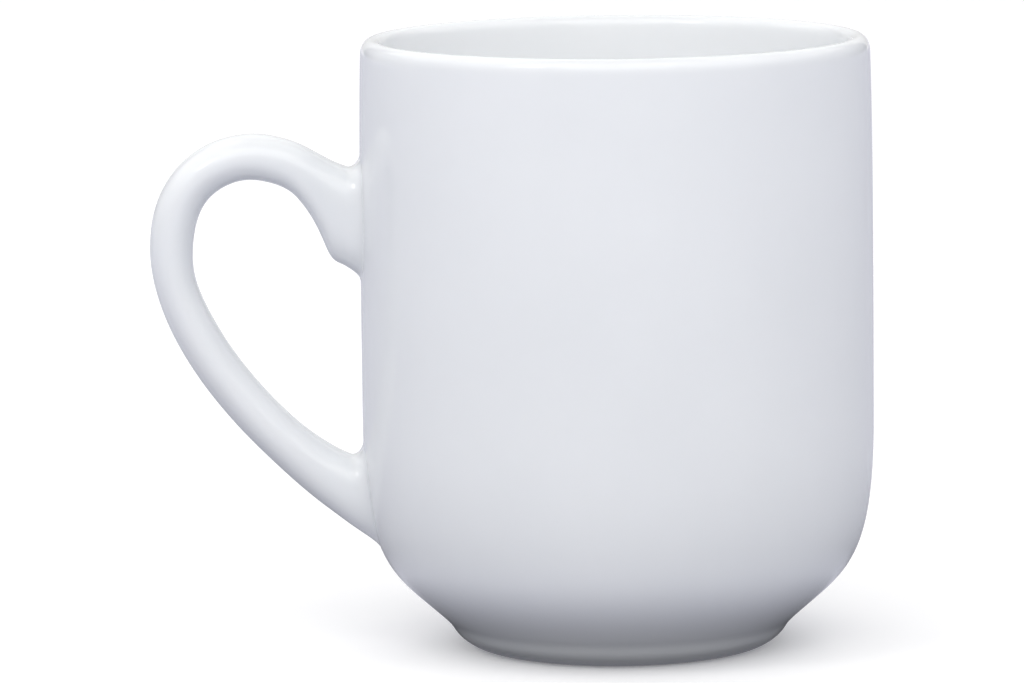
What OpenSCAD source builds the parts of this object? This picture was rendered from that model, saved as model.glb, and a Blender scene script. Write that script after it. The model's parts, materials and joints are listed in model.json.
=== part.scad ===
// Porcelain mug with a rounded shoulder, a low foot ring and an ear-shaped side handle.
// Origin on the cup's axis at the plane it stands on, +Z up, handle towards -X.

/* [Cup] */
// Greatest outside radius, over the glaze
body_r = 42.5; // [38:0.5:48]
// Height from the standing edge to the crest of the lip
body_h = 101.5; // [92:0.5:115]
// Outside radius where the wall turns into the lip
lip_r = 42.1; // [37.6:0.1:47.6]
// Thickness of the glazed wall at the lip
lip_w = 3.6; // [3:0.1:4.4]
// Height of the rounding on the outside of the lip
lip_round = 2.45; // [1.8:0.05:3.2]
// Height at which the rounded shoulder becomes the straight wall
shoulder_h = 38.8; // [34:0.2:44]
// Height of the inside floor
floor_h = 8.8; // [7.5:0.1:10]

/* [Foot] */
// Outside radius of the flat edge that the mug stands on
stand_r = 22.8; // [21:0.1:24.4]
// Width of that edge
stand_w = 1.6; // [1.2:0.1:2.4]
// Radius at the cove, where the foot meets the shoulder
cove_r = 28.3; // [26.5:0.1:30]
// Height of the cove
cove_h = 4.0; // [3:0.1:5]
// Depth of the well under the base
well_h = 3.0; // [2:0.1:3.8]

/* [Handle] */
// How far the handle stands out from the body
handle_reach = 34.9; // [30:0.1:40]
// Width of the handle across its middle
handle_w = 11; // [9:0.5:13]
// Thickness of the slip that bonds each end of the handle
slip_t = 0.4; // [0.3:0.05:0.6]

/* [Glaze] */
// Thickness of the glaze coat
glaze_t = 0.25; // [0.2:0.05:0.4]
// How far down inside the lip the outside coat reaches
glaze_turn = 7.5; // [5:0.5:12]

/* [Hidden] */

$fn = 180;
clay_colour = "linen";
slip_colour = "antiquewhite";
glaze_colour = "ghostwhite";

// Curves

// A point on a cubic Bezier curve.
function bezier(p, t) =
    pow(1 - t, 3) * p[0] + 3 * pow(1 - t, 2) * t * p[1]
    + 3 * (1 - t) * t * t * p[2] + pow(t, 3) * p[3];

// The curve as points, without its first one, so that curves join end to end.
function bezier_points(p, steps) = [for (i = [1:steps]) bezier(p, i / steps)];

// A quarter of an ellipse about a centre, from one angle to another, without its first point.
function arc_points(centre, rx, ry, from, to, steps) = [
    for (i = [1:steps])
        let (a = from + (to - from) * i / steps)
        centre + [rx * cos(a), ry * sin(a)]
];

// A curve through rows of values, whole rows at whole t, and straight on at the ends.
function spline(rows, t) =
    let (
        last = len(rows) - 1,
        i = min(floor(t), last - 1),
        u = t - i,
        b = rows[i],
        c = rows[i + 1],
        a = i > 0 ? rows[i - 1] : 2 * b - c,
        d = i + 2 <= last ? rows[i + 2] : 2 * c - b
    )
    (2 * b + (c - a) * u + (2 * a - 5 * b + 4 * c - d) * u * u
        + (3 * b - a - 3 * c + d) * u * u * u) / 2;

// A curve from p to q that leaves along p_way and arrives along q_way.
function hermite(p, p_way, q, q_way, t) =
    (2 * t * t * t - 3 * t * t + 1) * p + (t * t * t - 2 * t * t + t) * p_way
    + (3 * t * t - 2 * t * t * t) * q + (t * t * t - t * t) * q_way;

// Points moved sideways to the left of the way they run.
function moved_left(points, by) = [
    for (i = [0:len(points) - 1])
        let (
            way = points[min(i + 1, len(points) - 1)] - points[max(i - 1, 0)],
            unit = way / norm(way)
        )
        points[i] + by * [-unit[1], unit[0]]
];

// The cup's section, as [radius, height], over the glaze

inner_r = lip_r - lip_w;
lip_mid_r = lip_r - lip_w / 2;
bore_start_h = shoulder_h - 1;
// The clay's bore is this much wider at the top than at the bowl, and the glaze makes it up.
bore_draft = 0.1;
cove_blend = 1;
shoulder_rise = [9.5, 8.9];
shoulder_turn_h = 13;
// Where the wiped edges of the glaze begin, outside and inside the flat standing edge.
wiped = [0.4, 0.1];
well_r = stand_r - stand_w;

shoulder_unit = shoulder_rise / norm(shoulder_rise);
cove_start = [cove_r - 0.45, cove_h - 0.8];
cove_end = [cove_r, cove_h] + cove_blend * shoulder_unit;

foot_curve = [
    [stand_r, 0] + wiped, [stand_r + 2.2, 0.3], [cove_r - 1.2, cove_h - 2.2], cove_start
];
cove_curve = [cove_start, [cove_r - 0.25, cove_h - 0.4], [cove_r, cove_h], cove_end];
shoulder_curve = [
    cove_end, [cove_r, cove_h] + shoulder_rise, [body_r, shoulder_turn_h], [body_r, shoulder_h]
];
wall_curve = [
    [body_r, shoulder_h], [body_r, shoulder_h + 22],
    [body_r + 0.1, body_h - 17], [lip_r, body_h - lip_round]
];
bowl_curve = [
    [inner_r, bore_start_h], [inner_r, floor_h + 7.5], [inner_r - 5.5, floor_h + 0.1],
    [inner_r - 18, floor_h]
];

outside_points = concat(
    [foot_curve[0]],
    bezier_points(foot_curve, 6),
    bezier_points(cove_curve, 5),
    bezier_points(shoulder_curve, 20),
    bezier_points(wall_curve, 8)
);
lip_points = concat(
    arc_points([lip_mid_r, body_h - lip_round], lip_w / 2, lip_round, 0, 90, 9),
    arc_points([lip_mid_r, body_h - lip_w / 2], lip_w / 2, lip_w / 2, 90, 180, 9)
);
turn_point = [inner_r, body_h - glaze_turn];
bowl_points = concat(
    [bowl_curve[0]],
    bezier_points(bowl_curve, 16),
    [[0, floor_h - 0.2]]
);
well_curve = [
    [well_r - wiped[0], 0.2], [well_r - 1, 1], [well_r - 0.9, well_h - 0.2],
    [well_r - 3.4, well_h]
];
well_points = concat([well_curve[0]], bezier_points(well_curve, 8), [[0, well_h + 0.3]]);

// The whole glazed surface from the foot, up, over the lip and down to the middle of the floor.
coat = concat(outside_points, lip_points, [turn_point], bowl_points);
turn_at = len(outside_points) + len(lip_points);

// The fired clay lies one coat below it, with the draft added between the lip and the bowl.
clay_coat = drafted(on_axis(moved_left(coat, glaze_t)));
clay_well = on_axis(moved_left(well_points, -glaze_t));

function drafted(points) = [
    for (i = [0:len(points) - 1])
        let (up = (points[i][1] - bore_start_h) / (body_h - bore_start_h))
        i == turn_at - 1 || i == turn_at ? points[i] + [bore_draft * up, 0] : points[i]
];

// The last point of a section brought back to the axis.
function on_axis(points) = [
    for (i = [0:len(points) - 1]) i == len(points) - 1 ? [0, points[i][1]] : points[i]
];
function part_of(points, from, to) = [for (i = [from:to]) points[i]];
function backwards(points) = [for (i = [len(points) - 1:-1:0]) points[i]];

// The handle: side view and joints

// Each row is one section: how far out and how high its outer edge lies, then its inner edge,
// then its width as a share of the handle's, then how much fuller than an ellipse its shoulders
// are. Out is measured from the cup's greatest radius.
side_view = [
    [ 2.3, 80.3,  2.6, 64.1, 1.22, 0.12],
    [ 4.2, 81.1,  4.8, 65.4, 1.13, 0.11],
    [ 6.6, 82.4,  6.7, 69.7, 1.05, 0.09],
    [ 9.3, 83.9,  8.9, 73.6, 1.01, 0.07],
    [12.6, 85.2, 12.1, 76.9, 1.00, 0.05],
    [18.0, 86.0, 17.5, 78.4, 1.00, 0.03],
    [24.5, 84.6, 21.7, 77.6, 1.00, 0.01],
    [30.1, 80.6, 25.1, 75.2, 1.00, 0.00],
    [33.7, 74.6, 27.0, 71.6, 0.99, 0.00],
    [34.9, 67.4, 27.8, 66.6, 0.98, 0.00],
    [34.1, 60.4, 27.4, 61.8, 0.98, 0.00],
    [31.4, 52.8, 25.1, 56.2, 0.99, 0.00],
    [26.9, 45.0, 21.2, 49.6, 1.00, 0.00],
    [21.1, 37.6, 15.8, 42.8, 1.00, 0.01],
    [14.9, 31.2, 10.1, 37.2, 1.03, 0.03],
    [ 8.9, 25.7,  5.2, 33.7, 1.08, 0.05],
    [ 3.6, 21.6,  2.5, 32.3, 1.16, 0.07]
];
drawn_reach = 34.9;
drawn_h = 101.5;
sections = [
    for (row = side_view) [
        body_r + row[0] * handle_reach / drawn_reach, row[1] * body_h / drawn_h,
        body_r + row[2] * handle_reach / drawn_reach, row[3] * body_h / drawn_h,
        row[4] * handle_w / 2, row[5]
    ]
];
// Where each end lands on the wall: height at its outer edge, height at its inner edge, half width
// and fullness.
joint_w = 1.38 * handle_w;
upper_foot = [82.6 * body_h / drawn_h, 61.2 * body_h / drawn_h, joint_w / 2, 0.1];
lower_foot = [16.5 * body_h / drawn_h, 34.7 * body_h / drawn_h, joint_w / 2, 0.07];

ring_sides = 24;
rings_per_row = 2;
blend_rings = 6;
bead_start = 0.5;
fillet_pull = 1.7;
// How softly the fillet runs out on the wall, above and below an end, and at its sides.
landing_pull = 4.2;
side_pull = 0.8;
cap_rings = [0.66, 0.33];

clay_wall = [for (p = part_of(clay_coat, 0, len(outside_points) - 1)) [p[1], p[0]]];

// The wall's radius at a height, and the point on it at a sideways offset and a height above it.
function wall_r(z) = lookup(z, clay_wall);
function on_wall(y, z, above) = [-sqrt(pow(wall_r(z) + above, 2) - y * y), y, z];

// One section as a ring of points, smaller all round by inset.
function ring(s, inset) =
    let (
        middle = [(s[0] + s[2]) / 2, (s[1] + s[3]) / 2],
        across = [s[0] - s[2], s[1] - s[3]] / 2,
        half = norm(across),
        edge = across * (half - inset) / half
    )
    [
        for (k = [0:ring_sides - 1])
            let (
                a = 360 * k / ring_sides,
                full = 1 + s[5] * pow(sin(2 * a), 2),
                p = middle + edge * sin(a) * full
            )
            [-p[0], (s[4] - inset) * cos(a) * full, p[1]]
    ];

// The outline of an end's landing on the wall, at a level above the clay.
function landing(foot, above) = [
    for (k = [0:ring_sides - 1])
        let (
            a = 360 * k / ring_sides,
            full = 1 + foot[3] * pow(sin(2 * a), 2),
            half_h = (foot[0] - foot[1]) / 2
        )
        on_wall(foot[2] * full * cos(a), (foot[0] + foot[1]) / 2 + half_h * full * sin(a), above)
];

// The ring a share t of the way from the handle's last section to its landing.
function blend_ring(end_row, next_row, foot, inset, above, t) =
    let (
        root = ring(end_row, inset),
        next = ring(next_row, inset),
        land = landing(foot, above),
        wide = landing([
            foot[0] + (foot[0] - foot[1]) * 0.02, foot[1] - (foot[0] - foot[1]) * 0.02,
            foot[2] * 1.04, foot[3]
        ], above)
    )
    [
        for (k = [0:ring_sides - 1])
            let (
                out = wide[k] - land[k],
                pull = side_pull + (landing_pull - side_pull) * pow(sin(360 * k / ring_sides), 2)
            )
            hermite(
                root[k], (root[k] - next[k]) * fillet_pull, land[k], out / norm(out) * pull, t
            )
    ];

// A ring pulled in towards the middle of a landing, at a level above the clay.
function cap_ring(points, foot, share, above) =
    let (mid_z = (foot[0] + foot[1]) / 2)
    [for (p = points) on_wall(p[1] * share, mid_z + (p[2] - mid_z) * share, above)];

function blends(upper, inset, above, shares) =
    let (last = len(sections) - 1)
    [
        for (t = shares)
            upper
            ? blend_ring(sections[0], sections[1], upper_foot, inset, above, t)
            : blend_ring(sections[last], sections[last - 1], lower_foot, inset, above, t)
    ];

// All rings between the two last sections.
function middle_rings(inset) =
    let (steps = (len(sections) - 1) * rings_per_row)
    [for (i = [0:steps]) ring(spline(sections, i / rings_per_row), inset)];

// The handle's trimmed end: its edge and two rings of its face, at the slip's level.
function end_face(upper) =
    let (
        foot = upper ? upper_foot : lower_foot,
        edge = blends(upper, glaze_t, 0, [bead_start])[0]
    )
    [for (share = concat([1], cap_rings)) cap_ring(edge, foot, share, slip_t)];

function end_middle(foot, above) = on_wall(0, (foot[0] + foot[1]) / 2, above);

handle_shares = [for (i = [1:blend_rings / 2]) bead_start * i / (blend_rings / 2)];
bead_shares = [for (i = [0:blend_rings]) bead_start + (1 - bead_start) * i / blend_rings];
coat_shares = [for (i = [1:blend_rings]) i / blend_rings];

// A closed surface over rings, with a middle point at each end.
module capped_loft(first, rings, last) {
    n = len(rings[0]);
    m = len(rings);
    points = concat([first], [for (r = rings) each r], [last]);
    end = len(points) - 1;
    polyhedron(points, concat(
        [for (k = [0:n - 1]) [0, 1 + k, 1 + (k + 1) % n]],
        quads(m - 1, n, 1, m),
        [for (k = [0:n - 1]) [end, 1 + (m - 1) * n + (k + 1) % n, 1 + (m - 1) * n + k]]
    ));
}

// A closed surface over rings whose last one joins the first.
module ring_loft(rings) {
    n = len(rings[0]);
    m = len(rings);
    polyhedron([for (r = rings) each r], quads(m, n, 0, m));
}

// Two triangles for each cell between neighbouring rings, counted from a first point.
function quads(cells, n, start, m) = [
    for (i = [0:cells - 1], k = [0:n - 1])
        let (
            a = start + i * n + k,
            b = start + i * n + (k + 1) % n,
            c = start + ((i + 1) % m) * n + (k + 1) % n,
            d = start + ((i + 1) % m) * n + k
        )
        each [[a, d, c], [a, c, b]]
];

// Sub-parts

// Wall, floor and foot ring, formed in one from porcelain clay.
module cup_body() {
    color(clay_colour)
        rotate_extrude()
            polygon(concat(
                [[stand_r, 0]],
                clay_coat,
                backwards(clay_well),
                [[well_r, 0]]
            ));
}

// Cast handle, its ends trimmed to the curve of the wall.
module handle() {
    up = end_face(true);
    low = end_face(false);
    color(clay_colour)
        capped_loft(
            end_middle(upper_foot, slip_t),
            concat(
                backwards(up),
                backwards(blends(true, glaze_t, 0, handle_shares)),
                middle_rings(glaze_t),
                blends(false, glaze_t, 0, handle_shares),
                low
            ),
            end_middle(lower_foot, slip_t)
        );
}

// Slip that bonds one end to the wall, sponged to a bead round its edge.
module slip_joint(upper) {
    foot = upper ? upper_foot : lower_foot;
    bead = backwards(blends(upper, glaze_t, 0, bead_shares));
    wall_side = [for (share = backwards(concat([1], cap_rings))) cap_ring(bead[0], foot, share, 0)];
    rings = concat(part_of(wall_side, 0, len(wall_side) - 2), bead, end_face(upper));
    color(slip_colour)
        if (upper)
            capped_loft(end_middle(foot, 0), rings, end_middle(foot, slip_t));
        else
            capped_loft(end_middle(foot, slip_t), backwards(rings), end_middle(foot, 0));
}

module upper_slip_joint() {
    slip_joint(true);
}

module lower_slip_joint() {
    slip_joint(false);
}

// The window left in the outside coat where one end of the handle stands on the clay.
module landing_window(foot) {
    outline = [for (p = landing(foot, 0)) [p[1], p[2]]];
    translate([-body_r - 3, 0, 0])
        rotate([90, 0, 90])
            linear_extrude(height = 10)
                polygon(outline);
}

// Glaze dipped over the outside and turned in over the lip.
module outside_glaze() {
    color(glaze_colour)
        difference() {
            rotate_extrude()
                polygon(concat(
                    part_of(coat, 0, turn_at), backwards(part_of(clay_coat, 0, turn_at))
                ));
            landing_window(upper_foot);
            landing_window(lower_foot);
        }
}

// Glaze poured round the inside.
module lining_glaze() {
    last = len(coat) - 1;
    color(glaze_colour)
        rotate_extrude()
            polygon(concat(
                part_of(coat, turn_at, last), backwards(part_of(clay_coat, turn_at, last))
            ));
}

// Glaze left in the well when the standing edge is wiped clean.
module foot_well_glaze() {
    color(glaze_colour)
        rotate_extrude()
            polygon(concat(well_points, backwards(clay_well)));
}

// Glaze over the handle and both beads of slip, up to the edges of the windows.
module handle_glaze() {
    outer = concat(
        backwards(blends(true, 0, glaze_t, coat_shares)),
        middle_rings(0),
        blends(false, 0, glaze_t, coat_shares)
    );
    inner = concat(
        backwards(blends(true, glaze_t, 0, coat_shares)),
        middle_rings(glaze_t),
        blends(false, glaze_t, 0, coat_shares)
    );
    color(glaze_colour)
        ring_loft(concat(outer, backwards(inner)));
}

cup_body();
handle();
upper_slip_joint();
lower_slip_joint();
outside_glaze();
lining_glaze();
foot_well_glaze();
handle_glaze();
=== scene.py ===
import json
import math

import bpy
import numpy as np
from mathutils import Matrix, Vector


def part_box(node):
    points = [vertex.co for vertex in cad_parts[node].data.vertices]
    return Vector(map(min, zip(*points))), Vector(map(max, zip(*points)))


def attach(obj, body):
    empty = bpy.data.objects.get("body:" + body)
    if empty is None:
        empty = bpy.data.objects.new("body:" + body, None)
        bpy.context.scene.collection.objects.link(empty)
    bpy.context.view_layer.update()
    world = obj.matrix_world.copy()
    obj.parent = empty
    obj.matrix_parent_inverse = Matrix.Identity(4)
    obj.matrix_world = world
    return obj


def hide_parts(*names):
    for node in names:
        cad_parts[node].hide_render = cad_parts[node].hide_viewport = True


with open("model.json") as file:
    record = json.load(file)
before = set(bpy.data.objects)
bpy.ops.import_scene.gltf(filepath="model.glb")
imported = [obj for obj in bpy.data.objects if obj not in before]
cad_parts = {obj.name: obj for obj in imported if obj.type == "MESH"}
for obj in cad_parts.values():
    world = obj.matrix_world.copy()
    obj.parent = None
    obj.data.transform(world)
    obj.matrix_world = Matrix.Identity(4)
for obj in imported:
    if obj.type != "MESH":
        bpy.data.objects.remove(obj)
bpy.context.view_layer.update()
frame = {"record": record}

mm = 0.001


def boxInMm(node):
    low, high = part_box(node)
    return np.array(low) / mm, np.array(high) / mm


mouthMount = next(m for m in frame["record"]["mounts"] if m["name"] == "mouth")
bodyRadius = round(boxInMm("outside_glaze")[1][0], 2)
bodyHeight = round(boxInMm("outside_glaze")[1][2], 2)
boreRadius = mouthMount["dims"]["r_mm"]
handleReach = -boxInMm("handle_glaze")[0][0] - bodyRadius

# all lengths in millimetres
cup = {
    "lipWidth": 3.6,            # wall at the lip, over both coats
    "lipRound": 2.45,           # height of the lip's outer rounding
    "lipPull": 17,              # how far down the wall the lip's curve reaches
    "lipSwell": 0.1,            # how far the wall swells under the lip
    "shoulderTop": 38.8,        # where the wall becomes straight
    "shoulderPull": 22,         # how far up the wall the shoulder's curve reaches
    "shoulderTurn": 13,         # height at which the shoulder heads for the wall
    "shoulderRise": (9.5, 8.9),     # out and up, the way it leaves the cove
    "softening": 0.5,           # how far a change of curve is eased, along the section
}
bowl = {
    "floorHeight": 8.8,
    "floorStart": 18,           # how far in from the wall the floor is flat
    "floorDish": 0.2,           # how far the floor falls to its middle
    "belowShoulder": 1,         # how far below the wall's shoulder the bowl begins
    "wallPull": 7.5,            # height over the floor at which it leaves the wall's way
    "turn": (5.5, 0.1),         # in from the wall and over the floor, where it turns to the floor
}
foot = {
    "standRadius": 22.8,        # outside of the flat edge it stands on
    "standWidth": 1.6,
    "standRound": 0.35,         # the sponged corners of that edge
    "coatStart": (0.4, 0.1),    # out and up from that edge, where the outside coat begins
    "flare": (1.8, 0.2),        # out and up, the way it leaves that start
    "coveRadius": 28.3,
    "coveHeight": 4.0,
    "coveArrive": (1.2, 2.2),   # in and down from the cove, the way the ring's wall comes up
    "coveStart": (0.45, 0.8),   # in and down, where the cove's own bend begins
    "coveEase": (0.25, 0.4),
    "wellDepth": 3.0,
    "wellStart": (0.4, 0.2),    # in and up from the standing edge, where the well's coat begins
    "wellRise": (1, 1),         # in and up, the way it leaves that start
    "wellTurn": (0.9, 0.2),     # in, and short of the depth, where it turns to the flat
    "wellFlat": 3.4,            # how far in the flat begins
    "wellDome": 0.3,            # how much deeper its middle is
}
glaze = {
    "thickness": 0.25,
    "turnDown": 7.5,            # how far the outside coat reaches down inside the lip
    "edge": 0.6,                # length over which a wiped edge thins out
    "edgeBefore": 0.1,          # how far before the edge that thinning would reach nothing
    "spare": 4,                 # how far a section runs past the seam before it is cut there
    "innerLipEnd": 6.5,         # depth at which the inside of the lip is straight
}
fineness = {
    "sides": 288,               # points round the cup
    "step": 0.1,                # spacing of the points while a section is eased
    "bend": 2,                  # length that a radian of turning counts as, in spacing the rings
    "clayOutside": 150,         # rings in each stretch
    "clayInside": 60,
    "clayWell": 40,
    "lining": 150,
    "wellCoat": 90,
    "outsideCoat": 205,
    "hiddenStride": 3,          # the face of the outside coat against the clay has one ring in three
}

lipRadius = boreRadius + cup["lipWidth"]
seamHeight = bodyHeight - glaze["turnDown"]


def bezier(points, count):
    # a cubic Bezier: the four points weighted by (1-t)^3, 3(1-t)^2 t, 3(1-t) t^2 and t^3
    t = np.linspace(0, 1, count + 1)[1:, None]
    a, b, c, d = (np.array(p, float) for p in points)
    return (1 - t) ** 3 * a + 3 * (1 - t) ** 2 * t * b + 3 * (1 - t) * t ** 2 * c + t ** 3 * d


def arc(centre, radii, start, end, count):
    # an ellipse's arc: centre plus (radius * cosine, height * sine) of an even run of angles
    angle = np.radians(np.linspace(start, end, count + 1)[1:, None])
    return np.array(centre) + np.hstack([radii[0] * np.cos(angle), radii[1] * np.sin(angle)])


def lengthAlong(line):
    # the distance from the line's start to each of its points
    return np.concatenate([[0], np.cumsum(np.linalg.norm(np.diff(line, axis=0), axis=1))])


def respaced(line, at):
    # the line's points at the given distances along it
    along = lengthAlong(line)
    return np.stack([np.interp(at, along, line[:, k]) for k in range(line.shape[1])], axis=1)


def weightedMean(line, bell):
    # each point becomes the mean of its neighbours, weighted by the bell; the line is turned over
    # about each end to give the ends their neighbours, so the ends stay
    half = len(bell) // 2
    bell = bell / bell.sum()
    before = 2 * line[0] - line[half:0:-1]
    after = 2 * line[-1] - line[-2:-half - 2:-1]
    padded = np.vstack([before, line, after])
    return np.stack([np.convolve(padded[:, k], bell, "valid") for k in range(line.shape[1])], axis=1)


def eased(line, step, reach):
    # evenly respaced, then smoothed by exp(-d^2 / 2 reach^2), with d the distance along the line
    total = lengthAlong(line)[-1]
    line = respaced(line, np.linspace(0, total, int(total / step) + 1))
    half = int(3 * reach / step)
    return weightedMean(line, np.exp(-0.5 * (np.arange(-half, half + 1) * step / reach) ** 2))


def rowsByBend(line, count):
    # picks count points so that each gap holds an equal share of length plus weighted turning
    along = lengthAlong(line)
    way = np.gradient(line, axis=0)
    heading = np.unwrap(np.arctan2(way[:, 1], way[:, 0]))
    turning = fineness["bend"] * np.abs(np.diff(heading))
    share = np.concatenate([[0], np.cumsum(np.diff(along) + turning)])
    return respaced(line, np.interp(np.linspace(0, share[-1], count), share, along))


def movedLeft(line, by):
    # every point goes sideways by its distance, to the left of the way the line runs
    way = np.gradient(line, axis=0)
    way /= np.linalg.norm(way, axis=1)[:, None]
    return line + np.stack([-way[:, 1], way[:, 0]], axis=1) * np.reshape(by, (-1, 1))


def outsideLine():
    # the cup's section as radius and height: up from the foot, over the lip and down inside
    riseWay = np.array(cup["shoulderRise"])
    cove = np.array([foot["coveRadius"], foot["coveHeight"]])
    coveStart = cove - foot["coveStart"]
    coveEnd = cove + riseWay / np.linalg.norm(riseWay)
    coatStart = np.array([foot["standRadius"] + foot["coatStart"][0], foot["coatStart"][1]])
    shoulder = (bodyRadius, cup["shoulderTop"])
    lipStart = (lipRadius, bodyHeight - cup["lipRound"])
    half = cup["lipWidth"] / 2
    return np.vstack([
        coatStart,
        bezier([coatStart, coatStart + foot["flare"], cove - foot["coveArrive"], coveStart],
               count=40),
        bezier([coveStart, cove - foot["coveEase"], cove, coveEnd], count=20),
        bezier([coveEnd, cove + riseWay, (bodyRadius, cup["shoulderTurn"]), shoulder], count=120),
        bezier([shoulder, (bodyRadius, cup["shoulderTop"] + cup["shoulderPull"]),
                (bodyRadius + cup["lipSwell"], bodyHeight - cup["lipPull"]), lipStart], count=80),
        arc((lipRadius - half, lipStart[1]), (half, cup["lipRound"]), 0, 90, count=40),
        arc((lipRadius - half, bodyHeight - half), (half, half), 90, 180, count=40),
        [boreRadius, bodyHeight - glaze["innerLipEnd"]],
        [boreRadius, seamHeight - glaze["spare"]],
    ])


def insideLine():
    # the section inside: down the straight wall, round the bowl and in to the floor's middle
    floor = bowl["floorHeight"]
    bowlTop = (boreRadius, cup["shoulderTop"] - bowl["belowShoulder"])
    turnIn, turnUp = bowl["turn"]
    return np.vstack([
        [boreRadius, seamHeight + glaze["spare"]],
        bowlTop,
        bezier([bowlTop, (boreRadius, floor + bowl["wallPull"]),
                (boreRadius - turnIn, floor + turnUp), (boreRadius - bowl["floorStart"], floor)],
               count=120),
        [0, floor - bowl["floorDish"]],
    ])


def wellLine():
    # the section of the recess under the base: in from the standing edge to the middle
    radius = foot["standRadius"] - foot["standWidth"]
    depth = foot["wellDepth"]
    start = (radius - foot["wellStart"][0], foot["wellStart"][1])
    return np.vstack([
        start,
        bezier([start, (radius - foot["wellRise"][0], foot["wellRise"][1]),
                (radius - foot["wellTurn"][0], depth - foot["wellTurn"][1]),
                (radius - foot["wellFlat"], depth)], count=60),
        [0, depth + foot["wellDome"]],
    ])


def cutAt(line, height):
    # the line up to the last time it passes a height, ended exactly there
    above = line[:, 1] >= height
    last = np.nonzero(above)[0][-1]
    share = (line[last, 1] - height) / (line[last, 1] - line[last + 1, 1])
    return np.vstack([line[:last + 1], line[last] + share * (line[last + 1] - line[last])])


def startAt(line, height):
    # the line from where it first falls below a height, begun exactly there
    first = np.nonzero(line[:, 1] < height)[0][0]
    share = (line[first - 1, 1] - height) / (line[first - 1, 1] - line[first, 1])
    return np.vstack([line[first - 1] + share * (line[first] - line[first - 1]), line[first:]])


def closedToAxis(line):
    # the last point put on the axis itself
    line = line.copy()
    line[-1, 0] = 0
    return line


# easing takes a little off the brim, so the outside is stretched back to the full height
worn = eased(outsideLine(), fineness["step"], cup["softening"])
outside = cutAt(worn * [1, bodyHeight / worn[:, 1].max()], seamHeight)
inside = closedToAxis(startAt(eased(insideLine(), fineness["step"], cup["softening"]), seamHeight))
well = closedToAxis(eased(wellLine(), fineness["step"], foot["standRound"]))

# the outer wall alone, rising, so that a height gives a radius
crest = int(np.argmax(outside[:, 1]))
wallHeights = outside[:crest, 1]
wallRadii = outside[:crest, 0]


def wallRadius(height):
    # read off the wall's own section, straight between its points
    return np.interp(height, wallHeights, wallRadii)


def meshFrom(name, points, quads, triangles):
    # points in millimetres; faces are turned to give the closed surface a positive volume
    triangles = np.reshape(triangles, (-1, 3)).astype(np.int32)
    quads = np.reshape(quads, (-1, 4)).astype(np.int32)
    halves = np.vstack([quads[:, [0, 1, 2]], quads[:, [0, 2, 3]], triangles])
    a, b, c = (points[halves[:, k]] for k in range(3))
    if np.einsum("ij,ij->", a, np.cross(b, c)) < 0:
        quads = quads[:, ::-1]
        triangles = triangles[:, ::-1]
    corners = np.concatenate([quads.ravel(), triangles.ravel()])
    starts = np.concatenate([
        np.arange(len(quads)) * 4,
        len(quads) * 4 + np.arange(len(triangles)) * 3,
    ])
    mesh = bpy.data.meshes.new(name)
    mesh.vertices.add(len(points))
    mesh.vertices.foreach_set("co", (points * mm).astype(np.float32).ravel())
    mesh.loops.add(len(corners))
    mesh.loops.foreach_set("vertex_index", corners.astype(np.int32))
    mesh.polygons.add(len(starts))
    mesh.polygons.foreach_set("loop_start", starts.astype(np.int32))
    mesh.update(calc_edges=True)
    mesh.validate()
    piece = bpy.data.objects.new(name, mesh)
    bpy.context.scene.collection.objects.link(piece)
    return piece


def ringQuads(rows, sides, closed):
    # each cell joins a point to its neighbour on the ring and to the same two on the next ring
    row = np.arange(rows if closed else rows - 1)[:, None]
    side = np.arange(sides)[None, :]
    nextRow = (row + 1) % rows
    nextSide = (side + 1) % sides
    return np.stack([row * sides + side, row * sides + nextSide,
                     nextRow * sides + nextSide, nextRow * sides + side], axis=-1).reshape(-1, 4)


def ringPiece(name, rings):
    # rings that follow one another and come back to the first
    rows, sides, _ = rings.shape
    return meshFrom(name, rings.reshape(-1, 3), ringQuads(rows, sides, True), [])


def cappedPiece(name, rings, first, last):
    # rings with a middle point at each end
    rows, sides, _ = rings.shape
    points = np.vstack([rings.reshape(-1, 3), first, last])
    side = np.arange(sides)
    nextSide = (side + 1) % sides
    hub = np.full(sides, rows * sides)
    end = (rows - 1) * sides
    caps = np.vstack([
        np.stack([hub, nextSide, side], axis=1),
        np.stack([hub + 1, end + side, end + nextSide], axis=1),
    ])
    return meshFrom(name, points, ringQuads(rows, sides, False), caps)


def revolved(line, sides):
    # each (radius, height) goes round the axis: (r cos a, r sin a, z)
    angle = np.arange(sides) * 2 * np.pi / sides
    r = line[:, :1]
    return np.stack([r * np.cos(angle), r * np.sin(angle),
                     np.repeat(line[:, 1:], sides, axis=1)], axis=-1)


def turnedPiece(name, line):
    # a section that begins and ends on the axis, turned round it
    rings = revolved(line[1:-1], fineness["sides"])
    return cappedPiece(name, rings, [0, 0, line[0, 1]], [0, 0, line[-1, 1]])


def smoothShaded(piece, sharpAngle=35):
    piece.data.polygons.foreach_set("use_smooth", np.ones(len(piece.data.polygons), bool))
    piece.data.set_sharp_from_angle(angle=math.radians(sharpAngle))


def withValue(piece, name, values):
    # a number at each point, for the material to read
    field = piece.data.attributes.new(name, "FLOAT", "POINT")
    field.data.foreach_set("value", np.asarray(values, np.float32).ravel())


def pointsOf(piece):
    flat = np.empty(len(piece.data.vertices) * 3, np.float32)
    piece.data.vertices.foreach_get("co", flat)
    return flat.reshape(-1, 3) / mm


def smoothStep(low, high, value):
    # 0 below low, 1 above high, and t^2 (3 - 2t) in between
    t = np.clip((value - low) / (high - low), 0, 1)
    return t * t * (3 - 2 * t)


def thinningFrom(line):
    # the coat's thickness along a line: thin at its first point, full after the wiped edge
    along = lengthAlong(line)
    return glaze["thickness"] * np.sqrt(smoothStep(-glaze["edgeBefore"], glaze["edge"], along))


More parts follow.
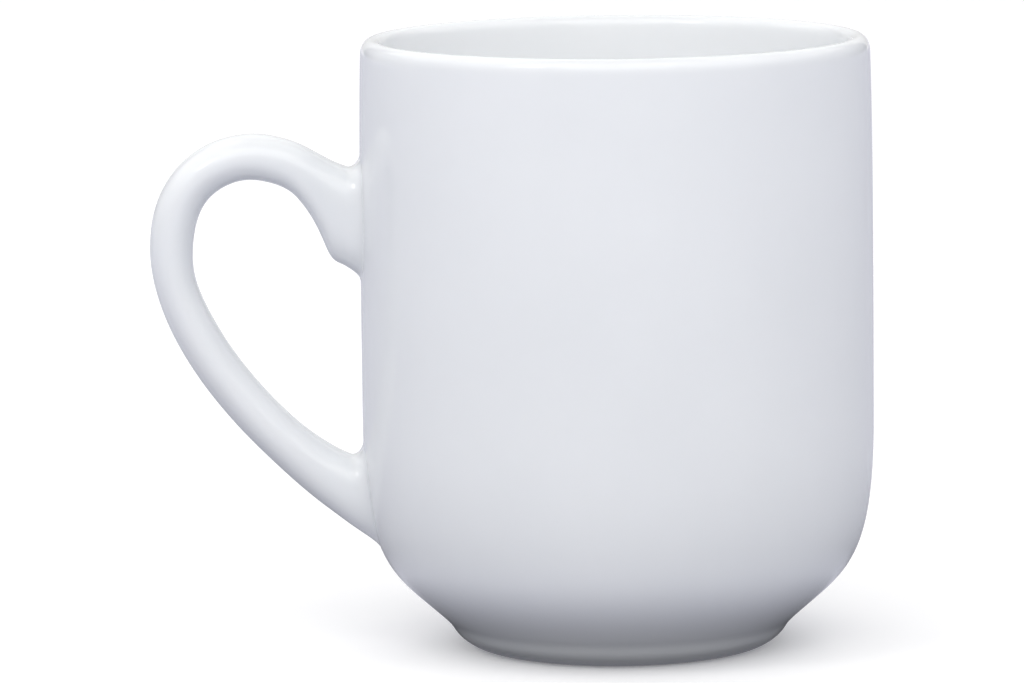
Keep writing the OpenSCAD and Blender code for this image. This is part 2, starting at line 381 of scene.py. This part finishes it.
def makeClayCup():
    # out along the well, round the standing edge, up the wall, over the lip and down to the floor;
    # the clay's own corners at the standing edge are sharper than the coat's ends beside them
    outer = rowsByBend(outside, fineness["clayOutside"])
    inner = rowsByBend(inside, fineness["clayInside"])
    under = rowsByBend(well, fineness["clayWell"])
    skin = movedLeft(outer, thinningFrom(outer))
    lining = closedToAxis(movedLeft(inner, glaze["thickness"]))
    ceiling = closedToAxis(movedLeft(under, -thinningFrom(under)))
    standing = eased(np.vstack([
        ceiling[0],
        [foot["standRadius"] - foot["standWidth"], 0],
        [foot["standRadius"], 0],
        skin[0],
    ]), fineness["step"] / 2, foot["standRound"] / 3)
    return turnedPiece("clayCup", np.vstack([ceiling[:0:-1], standing, skin[1:], lining[1:]]))


def makeLining():
    # the inside surface and the same moved into the clay by the coat's thickness
    outer = rowsByBend(inside, fineness["lining"])
    inner = closedToAxis(movedLeft(outer, glaze["thickness"]))
    return turnedPiece("liningCoat", np.vstack([inner[::-1], outer]))


def makeWellCoat():
    # the same under the base, thin at the wiped edge
    outer = rowsByBend(well, fineness["wellCoat"])
    inner = closedToAxis(movedLeft(outer, -thinningFrom(outer)))
    return turnedPiece("footWellCoat", np.vstack([inner[::-1], outer]))


def makeOutsideCoat():
    # the outside surface and fewer rings of the same moved into the clay, thin at the wiped foot
    outer = rowsByBend(outside, fineness["outsideCoat"])
    few = outer[::fineness["hiddenStride"]]
    inner = movedLeft(few, thinningFrom(few))
    line = np.vstack([outer, inner[-1:0:-1]])
    return ringPiece("outsideCoat", revolved(line, fineness["sides"]))


handle = {
    # each row: the outer edge as the distance out from the wall and the height, the inner edge
    # in the same way, the share of the half width, and the fullness
    "sideView": [
        (2.3, 80.3, 2.6, 64.1, 1.22, 0.12),
        (4.2, 81.1, 4.8, 65.4, 1.13, 0.11),
        (6.6, 82.4, 6.7, 69.7, 1.05, 0.09),
        (9.3, 83.9, 8.9, 73.6, 1.01, 0.07),
        (12.6, 85.2, 12.1, 76.9, 1.00, 0.05),
        (18.0, 86.0, 17.5, 78.4, 1.00, 0.03),
        (24.5, 84.6, 21.7, 77.6, 1.00, 0.01),
        (30.1, 80.6, 25.1, 75.2, 1.00, 0.00),
        (33.7, 74.6, 27.0, 71.6, 0.99, 0.00),
        (34.9, 67.4, 27.8, 66.6, 0.98, 0.00),
        (34.1, 60.4, 27.4, 61.8, 0.98, 0.00),
        (31.4, 52.8, 25.1, 56.2, 0.99, 0.00),
        (26.9, 45.0, 21.2, 49.6, 1.00, 0.00),
        (21.1, 37.6, 15.8, 42.8, 1.00, 0.01),
        (14.9, 31.2, 10.1, 37.2, 1.03, 0.03),
        (8.9, 25.7, 5.2, 33.7, 1.08, 0.05),
        (3.6, 21.6, 2.5, 32.3, 1.16, 0.07),
    ],
    "width": 11,
    # on the wall: height of the outer edge and of the inner edge, half width, fullness
    "upperLanding": (82.6, 61.2, 7.6, 0.1),
    "lowerLanding": (16.5, 34.7, 7.6, 0.07),
    "sides": 128,
    "ringsPerRow": 12,
    "blendRings": 28,
    "hiddenStride": 2,      # the coat's face against the clay has one ring in two
    "hiddenBlendStride": 4,     # and one in four near the wall
    "clayBlendRings": 7,
    "beadRings": 10,
    "beadStart": 0.5,       # where the slip begins, as a share of the way to the wall
    "filletPull": 1.7,      # how far the fillet keeps the handle's own way
    "landingPull": 4.2,     # how softly the fillet runs out above and below an end
    "sidePull": 0.8,        # and at its sides
    "slip": 0.4,
    "endShares": (0.85, 0.6, 0.35, 0.15),   # sizes of the rings that close an end
    "overlap": 1.0,         # how far the coat's edge runs on, just under the cup's own coat
    "overlapRings": 4,
    "overlapSink": 0.16,
    "windowInset": 0.4,     # how much smaller than the handle's end its window in the coat is
    "windowReach": (3, 0.75),   # begins so far outside the wall, ends at this share of its radius
}


def handleRows():
    # a spline through the rows, whole rows at whole t, eased so that its bend changes slowly
    rows = np.array(handle["sideView"])
    stretch = handleReach / rows[:, 0].max()
    rows = rows * [stretch, 1, stretch, 1, handle["width"] / 2, 1]
    rows += [bodyRadius, 0, bodyRadius, 0, 0, 0]
    rows = np.vstack([2 * rows[0] - rows[1], rows, 2 * rows[-1] - rows[-2]])
    steps = handle["ringsPerRow"]
    count = (len(rows) - 3) * steps
    t = np.arange(count + 1) / steps
    i = np.minimum(t.astype(int), len(rows) - 4)
    u = (t - i)[:, None]
    a, b, c, d = (rows[i + k] for k in range(4))
    line = (2 * b + (c - a) * u + (2 * a - 5 * b + 4 * c - d) * u ** 2
            + (3 * b - a - 3 * c + d) * u ** 3) / 2
    half = steps // 2
    return weightedMean(line, np.hanning(2 * half + 3)[1:-1])


sectionRows = handleRows()
around = np.arange(handle["sides"]) * 2 * np.pi / handle["sides"]


def sectionRings(rows, inset):
    # an oval in each section: the middle plus half the edge-to-edge way times the sine of the
    # angle, and sideways the half width times its cosine, both times 1 + fullness * sin(2 a)^2
    middle = (rows[:, 0:2] + rows[:, 2:4]) / 2
    across = (rows[:, 0:2] - rows[:, 2:4]) / 2
    size = np.linalg.norm(across, axis=1)[:, None]
    across = across * (size - inset) / size
    full = 1 + rows[:, 5:6] * np.sin(2 * around) ** 2
    out = middle[:, None, :] + across[:, None, :] * (full * np.sin(around))[..., None]
    side = (rows[:, 4:5] - inset) * np.cos(around) * full
    return np.stack([-out[..., 0], side, out[..., 1]], axis=-1)


def onWall(side, height, level):
    # the point on the cup at a sideways offset and a height, a level above the glazed wall
    radius = wallRadius(height) + level
    return np.stack([-np.sqrt(radius ** 2 - side ** 2), side, height], axis=-1)


def landingOf(upper):
    return handle["upperLanding"] if upper else handle["lowerLanding"]


def landingRing(landing, level, grow=0):
    # the same full oval drawn on the wall, made larger all round by grow
    top, bottom, halfWidth, fullness = landing
    middle = (top + bottom) / 2
    half = (top - bottom) / 2
    sign = np.sign(half)
    full = 1 + fullness * np.sin(2 * around) ** 2
    return onWall((halfWidth * full + grow) * np.cos(around),
                  middle + (half * full + sign * grow) * np.sin(around), level)


def landingMiddle(landing, level):
    return onWall(0.0, np.array((landing[0] + landing[1]) / 2), level)


def blendRings(upper, inset, level, shares):
    # a Hermite curve from each point of the handle's last section to the same point of its
    # landing, leaving along the handle and arriving along the wall
    rows = sectionRows if upper else sectionRows[::-1]
    landing = landingOf(upper)
    root = sectionRings(rows[:1], inset)[0]
    inner = sectionRings(rows[handle["ringsPerRow"]:handle["ringsPerRow"] + 1], inset)[0]
    land = landingRing(landing, level)
    out = landingRing(landing, level, handle["overlap"] / 2) - land
    pull = handle["sidePull"] + (handle["landingPull"] - handle["sidePull"]) * np.sin(around) ** 2
    out *= (pull / np.linalg.norm(out, axis=1))[:, None]
    away = (root - inner) * handle["filletPull"]
    t = np.asarray(shares, float)[:, None, None]
    return ((2 * t ** 3 - 3 * t ** 2 + 1) * root + (t ** 3 - 2 * t ** 2 + t) * away
            + (3 * t ** 2 - 2 * t ** 3) * land + (t ** 3 - t ** 2) * out)


def edgeRings(upper):
    # the coat's edge, run on outwards while it sinks into the cup's own coat
    steps = np.arange(1, handle["overlapRings"] + 1) / handle["overlapRings"]
    return np.stack([
        landingRing(landingOf(upper), -handle["overlapSink"] * s ** 2, handle["overlap"] * s)
        for s in steps
    ])


def makeHandleCoat():
    # the outer face from edge to edge, then back along the face against the clay
    thick = glaze["thickness"]
    shares = np.arange(1, handle["blendRings"] + 1) / handle["blendRings"]
    outer = np.concatenate([
        edgeRings(True)[::-1],
        blendRings(True, 0, 0, shares)[::-1],
        sectionRings(sectionRows, 0),
        blendRings(False, 0, 0, shares),
        edgeRings(False),
    ])
    few = shares[handle["hiddenBlendStride"] - 1::handle["hiddenBlendStride"]]
    inner = np.concatenate([
        blendRings(True, thick, -thick, few)[::-1],
        sectionRings(sectionRows[::handle["hiddenStride"]], thick),
        blendRings(False, thick, -thick, few),
    ])
    return ringPiece("handleCoat", np.concatenate([outer, inner[::-1]]))


def capRings(edge, landing, level, shares):
    # the trimmed end's edge pulled in towards its middle, kept at one level over the wall
    middle = (landing[0] + landing[1]) / 2
    return np.stack([
        onWall(edge[:, 1] * s, middle + (edge[:, 2] - middle) * s, level) for s in shares
    ])


def endFace(upper):
    # the trimmed end of the clay handle, which the slip joint meets with the same rings
    landing = landingOf(upper)
    thick = glaze["thickness"]
    level = handle["slip"] - thick
    edge = blendRings(upper, thick, -thick, [handle["beadStart"]])[0]
    face = capRings(edge, landing, level, (1, *handle["endShares"]))
    return face, landingMiddle(landing, level)


def makeClayHandle():
    # the sections under the coat, run on to where the slip begins and closed there
    thick = glaze["thickness"]
    shares = np.linspace(0, handle["beadStart"], handle["clayBlendRings"] + 1)[1:]
    upperFace, upperMiddle = endFace(True)
    lowerFace, lowerMiddle = endFace(False)
    rings = np.concatenate([
        upperFace[::-1],
        blendRings(True, thick, -thick, shares)[::-1],
        sectionRings(sectionRows, thick),
        blendRings(False, thick, -thick, shares),
        lowerFace,
    ])
    return cappedPiece("clayHandle", rings, upperMiddle, lowerMiddle)


def makeSlipJoint(name, upper):
    # the bead of the fillet, closed by one face on the wall and one on the handle's end
    landing = landingOf(upper)
    thick = glaze["thickness"]
    shares = np.linspace(1, handle["beadStart"], handle["beadRings"])
    bead = blendRings(upper, thick, -thick, shares)
    wallSide = capRings(bead[0], landing, -thick, handle["endShares"])
    wallMiddle = landingMiddle(landing, -thick)
    face, faceMiddle = endFace(upper)
    rings = np.concatenate([wallSide[::-1], bead, face])
    return cappedPiece(name, rings, wallMiddle, faceMiddle)


def cutWindow(piece, landing):
    # cuts the coat away where the handle stands, with an oval prism that runs along X
    ring = landingRing(landing, 0, -handle["windowInset"])
    outward, inward = handle["windowReach"]
    near, far = ring.copy(), ring.copy()
    near[:, 0] = -bodyRadius - outward
    far[:, 0] = -bodyRadius * inward
    middle = np.mean(ring, axis=0)
    cutter = cappedPiece("windowCutter", np.stack([near, far]),
                         [near[0, 0], 0, middle[2]], [far[0, 0], 0, middle[2]])
    cut = piece.modifiers.new("window", "BOOLEAN")
    cut.operation = "DIFFERENCE"
    cut.solver = "EXACT"
    cut.object = cutter
    graph = bpy.context.evaluated_depsgraph_get()
    done = bpy.data.meshes.new_from_object(piece.evaluated_get(graph))
    piece.modifiers.clear()
    old = piece.data
    piece.data = done
    bpy.data.meshes.remove(old)
    bpy.data.objects.remove(cutter)


def newMaterial(name):
    # the material, its node tree and its one shader
    material = bpy.data.materials.new(name)
    material.use_nodes = True
    tree = material.node_tree
    return material, tree, tree.nodes["Principled BSDF"]


def addNode(tree, kind, settings=None, **inputs):
    # settings are the node's own properties, inputs its sockets by their names
    node = tree.nodes.new(kind)
    for key, value in (settings or {}).items():
        setattr(node, key, value)
    for key, value in inputs.items():
        node.inputs[key].default_value = value
    return node


def objectNoise(tree, scale, detail=3, roughness=0.5):
    # a noise fixed to the piece, scale ripples to the metre
    place = addNode(tree, "ShaderNodeTexCoord")
    noise = addNode(tree, "ShaderNodeTexNoise", Scale=scale, Detail=detail, Roughness=roughness)
    tree.links.new(place.outputs["Object"], noise.inputs["Vector"])
    return noise.outputs["Fac"]


def mapped(tree, source, fromLow, fromHigh, toLow, toHigh):
    # carries one range to another in a straight line, and holds its ends
    node = addNode(tree, "ShaderNodeMapRange")
    for key, value in (("From Min", fromLow), ("From Max", fromHigh),
                       ("To Min", toLow), ("To Max", toHigh)):
        node.inputs[key].default_value = value
    tree.links.new(source, node.inputs["Value"])
    return node.outputs["Result"]


def mixedColour(tree, share, first, second):
    # each of the two is a plain colour or another node's output
    node = addNode(tree, "ShaderNodeMix", {"data_type": "RGBA"})
    tree.links.new(share, node.inputs[0])
    for socket, value in ((node.inputs[6], first), (node.inputs[7], second)):
        if isinstance(value, tuple):
            socket.default_value = (*value, 1)
        else:
            tree.links.new(value, socket)
    return node.outputs[2]


noiseLow, noiseHigh = 0.3, 0.7          # nearly all of a noise's values lie between these

glazeLook = {
    "thin": (0.903, 0.918, 0.94),       # where the coat runs thin
    "pooledAndShaded": (0.759, 0.779, 0.806),    # where it gathers, and also the painted shade in the cove, on the foot and round the upper joint's neck
    "inside": 0.05,                     # how near to pooled the plain walls are inside; kept paler than outside as painted light, so the inside looks brighter
    "outside": 0.5,                     # and outside
    "cloudSize": 35,                    # sizes are ripples or cells to the metre
    "cloudDepth": 0.22,                 # how far the clouds move it towards pooled
    "speck": (0.45, 0.38, 0.30),
    "speckSize": 95,
    "speckEdge": (0.018, 0.034),        # a speck's dark middle and its rim, as shares of a cell
    "speckPick": (0.86, 0.9),           # only cells with a random value above this have one
    "speckDepth": 0.45,
    "roughness": 0.05,
    "sheenSize": 260,
    "sheenSpread": (-0.015, 0.02),      # how much less and more rough it is in places
    "ior": 1.5,
    "subsurface": 0.12,
    "scatterColour": (1.0, 0.9, 0.8),
    "scatterDepth": 0.0015,             # depths in metres
    "waveSize": 150,
    "waveDepth": 0.000012,
    "peelSize": 900,
    "peelDepth": 0.0000012,
}


def makeGlaze():
    # from thin to pooled by the pieces' own pool values plus slow clouds, with fine waviness; those
    # values hold real pooling together with painted shade and the inside's paler painted light
    material, tree, shader = newMaterial("glaze")
    link = tree.links.new
    # this attribute holds glaze pooling, painted shade and the inside's painted light
    poolAndPaintedLight = addNode(tree, "ShaderNodeAttribute", {"attribute_name": "poolAndPaintedLight"}).outputs["Fac"]
    cloud = objectNoise(tree, glazeLook["cloudSize"], detail=4)
    drift = addNode(tree, "ShaderNodeMath", {"operation": "ADD", "use_clamp": True})
    link(poolAndPaintedLight, drift.inputs[0])
    link(mapped(tree, cloud, noiseLow, noiseHigh, 0, glazeLook["cloudDepth"]), drift.inputs[1])
    tone = mixedColour(tree, drift.outputs[0], glazeLook["thin"], glazeLook["pooledAndShaded"])
    # specks: the middles of a few scattered cells, thinned out by the cells' own random value
    place = addNode(tree, "ShaderNodeTexCoord")
    cells = addNode(tree, "ShaderNodeTexVoronoi", Scale=glazeLook["speckSize"])
    link(place.outputs["Object"], cells.inputs["Vector"])
    dot = mapped(tree, cells.outputs["Distance"], *glazeLook["speckEdge"], 1, 0)
    parts = addNode(tree, "ShaderNodeSeparateColor")
    link(cells.outputs["Color"], parts.inputs[0])
    chosen = mapped(tree, parts.outputs[0], *glazeLook["speckPick"], 0, glazeLook["speckDepth"])
    speck = addNode(tree, "ShaderNodeMath", {"operation": "MULTIPLY"})
    link(dot, speck.inputs[0])
    link(chosen, speck.inputs[1])
    link(mixedColour(tree, speck.outputs[0], tone, glazeLook["speck"]), shader.inputs["Base Color"])
    wave = addNode(tree, "ShaderNodeBump", Strength=1, Distance=glazeLook["waveDepth"])
    link(objectNoise(tree, glazeLook["waveSize"], detail=1), wave.inputs["Height"])
    peel = addNode(tree, "ShaderNodeBump", Strength=1, Distance=glazeLook["peelDepth"])
    link(objectNoise(tree, glazeLook["peelSize"], detail=2), peel.inputs["Height"])
    link(wave.outputs["Normal"], peel.inputs["Normal"])
    link(peel.outputs["Normal"], shader.inputs["Normal"])
    sheen = objectNoise(tree, glazeLook["sheenSize"])
    smoother, rougher = (glazeLook["roughness"] + part for part in glazeLook["sheenSpread"])
    link(mapped(tree, sheen, noiseLow, noiseHigh, smoother, rougher), shader.inputs["Roughness"])
    shader.inputs["IOR"].default_value = glazeLook["ior"]
    shader.inputs["Subsurface Weight"].default_value = glazeLook["subsurface"]
    shader.inputs["Subsurface Radius"].default_value = glazeLook["scatterColour"]
    shader.inputs["Subsurface Scale"].default_value = glazeLook["scatterDepth"]
    return material


clayLook = {
    "clean": (0.80, 0.775, 0.73),
    "stained": (0.46, 0.37, 0.29),
    "stainSize": 420,
    "stainSpan": (0.42, 0.72),          # stain noise below this is clean, above it most stained
    "stainDepth": 0.8,
    "roughness": 0.72,
    "roughSpread": (-0.08, 0.1),
    "grainSize": 2600,
    "grainDepth": 0.00002,
}


def makeBiscuit(name):
    # matt bare clay, stained in patches and a little rougher there
    material, tree, shader = newMaterial(name)
    link = tree.links.new
    stain = objectNoise(tree, clayLook["stainSize"], detail=5, roughness=0.65)
    tone = mixedColour(tree, mapped(tree, stain, *clayLook["stainSpan"], 0, clayLook["stainDepth"]),
                       clayLook["clean"], clayLook["stained"])
    link(tone, shader.inputs["Base Color"])
    grain = objectNoise(tree, clayLook["grainSize"], detail=4, roughness=0.6)
    bump = addNode(tree, "ShaderNodeBump", Strength=1, Distance=clayLook["grainDepth"])
    link(grain, bump.inputs["Height"])
    link(bump.outputs["Normal"], shader.inputs["Normal"])
    smoother, rougher = (clayLook["roughness"] + part for part in clayLook["roughSpread"])
    link(mapped(tree, stain, noiseLow, noiseHigh, smoother, rougher), shader.inputs["Roughness"])
    return material


# how much nearer to pooled the glaze is in each place, and where that place is in millimetres; the
# bowl's floor ring is pooling, the cove is pooling with painted shade, and the foot and the upper
# joint's neck are painted shade
poolingShadeAndLight = {
    # the cove's value is glaze pooling together with painted shade
    "cove": 0.6,
    "coveWidth": 1.2,
    # painted shade: the foot is darker towards the floor
    "foot": 0.4,
    "footShadeTop": (2, 6),          # fades out between these heights
    "floor": 0.3,
    "floorRing": (24, 7),       # radius and width of the ring where the bowl meets its floor
    "floorReach": 5,            # height over or under the floor that still counts as that ring
    # the turned-in coat below the brim takes the inside's paler tone, which is painted light
    "lipFade": (2.5, 0.4),      # below the brim, where the outside tone gives way to the inside's
    "lipMargin": 1,             # how far round the turned-in coat still counts as inside
    # painted shade round the neck of the upper joint
    "neck": 0.3,
    "neckShadeRing": (6, 4.5),       # distance from the wall and width, on the handle
    "neckShadeFoot": (52, 60),       # only above these heights, so at the upper joint alone
}


def hill(value, middle, width):
    # 1 at the middle and falling off to both sides, as exp(-((value - middle) / width)^2)
    return np.exp(-((value - middle) / width) ** 2)


def toneShadeAndLightOnCup(piece, tone):
    # the glaze gathers in the cove and round the bowl's floor; the cove also gets painted shade, the
    # foot gets painted shade, darker towards the floor, and the inside a paler tone as painted light
    at = pointsOf(piece)
    radius = np.hypot(at[:, 0], at[:, 1])
    height = at[:, 2]
    # glaze pooling and painted shade in the cove
    poolAndShadeInCove = (hill(radius, foot["coveRadius"], poolingShadeAndLight["coveWidth"])
              * hill(height, foot["coveHeight"], poolingShadeAndLight["coveWidth"]))
    nearFloor = np.abs(height - bowl["floorHeight"]) < poolingShadeAndLight["floorReach"]
    byFloor = hill(radius, *poolingShadeAndLight["floorRing"]) * nearFloor
    # painted shade on the foot, darker towards the floor
    shadeOnFoot = 1 - smoothStep(*poolingShadeAndLight["footShadeTop"], height)
    # the dipped coat turns in over the lip, and its tone there runs into the lining's paler tone,
    # which is painted light
    margin = poolingShadeAndLight["lipMargin"]
    within = (height > seamHeight - margin) * (radius < boreRadius + margin)
    fadeEnd, fadeStart = (bodyHeight - depth for depth in poolingShadeAndLight["lipFade"])
    turnedIn = within * (1 - smoothStep(fadeEnd, fadeStart, height))
    base = tone + (glazeLook["inside"] - tone) * turnedIn
    poolAndPaintedLight = (base + poolingShadeAndLight["cove"] * poolAndShadeInCove + poolingShadeAndLight["foot"] * shadeOnFoot
            + poolingShadeAndLight["floor"] * byFloor)
    withValue(piece, "poolAndPaintedLight", np.clip(poolAndPaintedLight, 0, 1))


def toneAndNeckShadeOnHandle(piece):
    # the outside tone, with painted shade making it darker round the neck of the upper joint
    at = pointsOf(piece)
    fromWall = np.hypot(at[:, 0], at[:, 1]) - wallRadius(at[:, 2])
    shadeOnNeck = hill(fromWall, *poolingShadeAndLight["neckShadeRing"]) * smoothStep(*poolingShadeAndLight["neckShadeFoot"], at[:, 2])
    withValue(piece, "poolAndPaintedLight", glazeLook["outside"] + poolingShadeAndLight["neck"] * shadeOnNeck)


def finished(piece, node, material):
    # the piece rides on the mug's one body and stands in for the CAD node of the same place
    smoothShaded(piece)
    piece.data.materials.clear()
    piece.data.materials.append(material)
    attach(piece, "root")
    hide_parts(node)


glazeMaterial = makeGlaze()
biscuitMaterial = makeBiscuit("biscuit")
slipMaterial = makeBiscuit("slip")
print("materials made")

clayCup = makeClayCup()
finished(clayCup, "cup_body", biscuitMaterial)
liningCoat = makeLining()
# the lining's paler tone is painted light
toneShadeAndLightOnCup(liningCoat, glazeLook["inside"])
finished(liningCoat, "lining_glaze", glazeMaterial)
footWellCoat = makeWellCoat()
toneShadeAndLightOnCup(footWellCoat, glazeLook["inside"])
finished(footWellCoat, "foot_well_glaze", glazeMaterial)
print("clay cup, lining and well made")

outsideCoat = makeOutsideCoat()
cutWindow(outsideCoat, handle["upperLanding"])
cutWindow(outsideCoat, handle["lowerLanding"])
toneShadeAndLightOnCup(outsideCoat, glazeLook["outside"])
finished(outsideCoat, "outside_glaze", glazeMaterial)
print("outside coat made, with its two windows")

finished(makeClayHandle(), "handle", biscuitMaterial)
finished(makeSlipJoint("upperSlipJoint", True), "upper_slip_joint", slipMaterial)
finished(makeSlipJoint("lowerSlipJoint", False), "lower_slip_joint", slipMaterial)
handleCoat = makeHandleCoat()
toneAndNeckShadeOnHandle(handleCoat)
finished(handleCoat, "handle_glaze", glazeMaterial)
print("handle, slip joints and handle coat made")


studio = {
    "floorRadius": 6.0,                 # metres, as are the panels' width, distance and height
    "floorSides": 96,
    "floorColour": (0.93, 0.93, 0.94),
    "floorRoughness": 0.9,
    "floorSpecular": 0.1,
    "floorLift": 0.13,                  # added so that it stays near white away from the mug
    "floorTint": (0.99, 1.0, 1.13),
    # what the mug gets back from the floor: radius in millimetres, brightness
    "floorGlow": [
        (25, 0.16), (29, 0.03), (40, 0.27), (50, 0.62), (72, 0.27), (110, 0.42), (200, 0.63),
    ],
    "backdrop": (0.93, 0.93, 0.94),
    # what it gets back from the room: elevation in degrees, brightness
    "dome": [(0, 0.33), (15, 0.57), (45, 0.65), (62, 0.2), (90, 0.15)],
    "domeTint": (0.99, 1.0, 1.06),
    "panelTint": (1.0, 0.985, 0.93),
    "panelDistance": 1.8,
    "panelHeight": 0.05,                # the height that they aim at
    # azimuth from the front, elevation, width, watts, and whether the glaze mirrors it
    "panels": [
        (0, 17, 1.5, 9.8, False), (-120, 17, 1.5, 2.2, True), (180, 17, 1.5, 2.6, True),
        (0, 48, 1.5, 8.4, True), (-60, 48, 1.5, 5.0, True), (60, 48, 1.5, 5.8, True),
        (-120, 48, 1.5, 5.3, True), (120, 48, 1.5, 4.2, True), (180, 48, 1.5, 1.7, True),
        (-45, 41, 0.36, 2.0, True),
    ],
}


def cameraOnly(tree, seen, others):
    # mixes two shaders: the first for what the camera sees itself, the second for all other rays
    path = addNode(tree, "ShaderNodeLightPath")
    mix = addNode(tree, "ShaderNodeMixShader")
    tree.links.new(path.outputs["Is Camera Ray"], mix.inputs[0])
    tree.links.new(others, mix.inputs[1])
    tree.links.new(seen, mix.inputs[2])
    return mix.outputs[0]


def brightnessRamp(tree, source, stops, tint):
    # a colour ramp through (place, brightness) stops, all of one tint
    node = addNode(tree, "ShaderNodeValToRGB")
    tree.links.new(source, node.inputs[0])
    elements = node.color_ramp.elements
    while len(elements) < len(stops):
        elements.new(0.5)       # anywhere: the loop below puts every one in its place
    for element, (place, level) in zip(elements, stops):
        element.position = place
        element.color = (*(level * part for part in tint), 1)
    return node.outputs["Color"]


def makeFloor():
    # a disc: an even ring of points, cosine and sine of the angle times the radius
    sides = studio["floorSides"]
    angle = np.arange(sides) * 2 * np.pi / sides
    ring = np.stack([np.cos(angle), np.sin(angle), 0 * angle], axis=1) * studio["floorRadius"]
    mesh = bpy.data.meshes.new("floor")
    mesh.from_pydata(ring.tolist(), [], [list(range(sides))])
    floor = bpy.data.objects.new("floor", mesh)
    bpy.context.scene.collection.objects.link(floor)
    material, tree, shader = newMaterial("floor")
    shader.inputs["Base Color"].default_value = (*studio["floorColour"], 1)
    shader.inputs["Roughness"].default_value = studio["floorRoughness"]
    shader.inputs["Specular IOR Level"].default_value = studio["floorSpecular"]
    shader.inputs["Emission Color"].default_value = (1, 1, 1, 1)
    shader.inputs["Emission Strength"].default_value = studio["floorLift"]
    place = addNode(tree, "ShaderNodeTexCoord")
    away = addNode(tree, "ShaderNodeVectorMath", {"operation": "LENGTH"})
    tree.links.new(place.outputs["Object"], away.inputs[0])
    edge = studio["floorGlow"][-1][0]
    share = mapped(tree, away.outputs["Value"], 0, edge * mm, 0, 1)
    glow = addNode(tree, "ShaderNodeEmission")
    stops = [(radius / edge, level) for radius, level in studio["floorGlow"]]
    tree.links.new(brightnessRamp(tree, share, stops, studio["floorTint"]), glow.inputs["Color"])
    surface = tree.nodes["Material Output"].inputs["Surface"]
    tree.links.new(cameraOnly(tree, shader.outputs[0], glow.outputs[0]), surface)
    material.cycles.emission_sampling = "NONE"
    mesh.materials.append(material)


def makeDome():
    # a soft pale room whose brightness depends on the elevation, as the sine of it runs over a ramp
    world = bpy.data.worlds.new("studio")
    bpy.context.scene.world = world
    world.use_nodes = True
    tree = world.node_tree
    sky = tree.nodes["Background"]
    way = addNode(tree, "ShaderNodeTexCoord")
    parts = addNode(tree, "ShaderNodeSeparateXYZ")
    tree.links.new(way.outputs["Generated"], parts.inputs[0])
    stops = [(math.sin(math.radians(rise)), level) for rise, level in studio["dome"]]
    tone = brightnessRamp(tree, parts.outputs["Z"], stops, studio["domeTint"])
    tree.links.new(tone, sky.inputs["Color"])
    backdrop = addNode(tree, "ShaderNodeBackground", Color=(*studio["backdrop"], 1))
    surface = tree.nodes["World Output"].inputs["Surface"]
    tree.links.new(cameraOnly(tree, backdrop.outputs[0], sky.outputs[0]), surface)


def makePanels():
    # square soft panels round the mug, each facing a point a little above the floor
    aim = Vector((0, 0, studio["panelHeight"]))
    for azimuth, elevation, width, watts, mirrored in studio["panels"]:
        turn, rise = math.radians(azimuth), math.radians(elevation)
        way = Vector((math.sin(turn) * math.cos(rise), -math.cos(turn) * math.cos(rise),
                      math.sin(rise)))
        light = bpy.data.lights.new("panel", "AREA")
        light.size = width
        light.energy = watts
        light.color = studio["panelTint"]
        panel = bpy.data.objects.new("panel", light)
        panel.matrix_world = (Matrix.Translation(aim + way * studio["panelDistance"])
                              @ way.to_track_quat("Z", "Y").to_matrix().to_4x4())
        panel.visible_camera = False
        panel.visible_glossy = mirrored
        bpy.context.scene.collection.objects.link(panel)


camera = {
    "place": (-17.53, -1100, 200.9),
    "tiltDown": 7.77,           # degrees
    "roll": -0.64,
    "sensor": 36,
    "focal": 234.9,
    "nearest": 0.05,            # metres
    "farthest": 100,
}


def makeCamera():
    data = bpy.data.cameras.new("camera")
    data.sensor_width = camera["sensor"]
    data.lens = camera["focal"]
    data.clip_start = camera["nearest"]
    data.clip_end = camera["farthest"]
    viewer = bpy.data.objects.new("camera", data)
    bpy.context.scene.collection.objects.link(viewer)
    aim = (Matrix.Rotation(math.radians(90 - camera["tiltDown"]), 4, "X")
           @ Matrix.Rotation(math.radians(camera["roll"]), 4, "Z"))
    viewer.matrix_world = Matrix.Translation(Vector(camera["place"]) * mm) @ aim
    bpy.context.scene.camera = viewer


makeFloor()
makeDome()
makePanels()
makeCamera()
bpy.context.scene.view_settings.view_transform = "Standard"
bpy.context.scene.view_settings.look = "None"
print("studio made")
